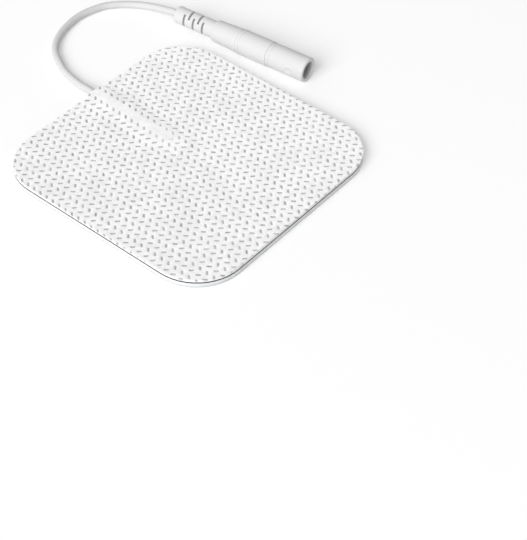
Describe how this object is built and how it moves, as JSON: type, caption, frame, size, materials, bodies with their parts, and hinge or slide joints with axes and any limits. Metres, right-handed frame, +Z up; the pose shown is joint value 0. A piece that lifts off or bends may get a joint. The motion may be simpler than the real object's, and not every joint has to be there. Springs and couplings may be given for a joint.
{
  "type": "tens electrode pad",
  "caption": "Square self-adhesive electrode pad with rounded corners: fabric back, black conductive film, gel, liner, and a short pigtail lead that ends in a female pin socket.",
  "frame": {"origin": "centre of the pad's underside, on the surface it lies on; the lead and its socket aren't counted", "axes": "+X and +Y along the pad's sides, the lead leaves the +Y side; +Z up, out of the fabric"},
  "size_m": [0.0761, 0.0897, 0.0063],
  "materials": {
    "liner_film": "clear release film, satin, slightly milky",
    "hydrogel": "translucent tacky gel, wet gloss",
    "carbon_film": "matte carbon-filled film with fine specks",
    "nonwoven_fabric": "white non-woven cloth with an embossed herringbone of short dashes",
    "lead_pvc": "soft satin PVC",
    "tinned_copper": "bare tinned strands",
    "moulded_pvc": "soft moulded PVC, satin",
    "nickel_brass": "nickel-plated brass, bright"
  },
  "bodies": {
    "root": {"release_liner": "liner_film", "gel_layer": "hydrogel", "conductive_film": "carbon_film", "fabric_backing": "nonwoven_fabric", "lead_wire": "lead_pvc", "lead_strands": "tinned_copper", "socket_housing": "moulded_pvc", "contact_sleeve": "nickel_brass"}
  },
  "joints": []
}
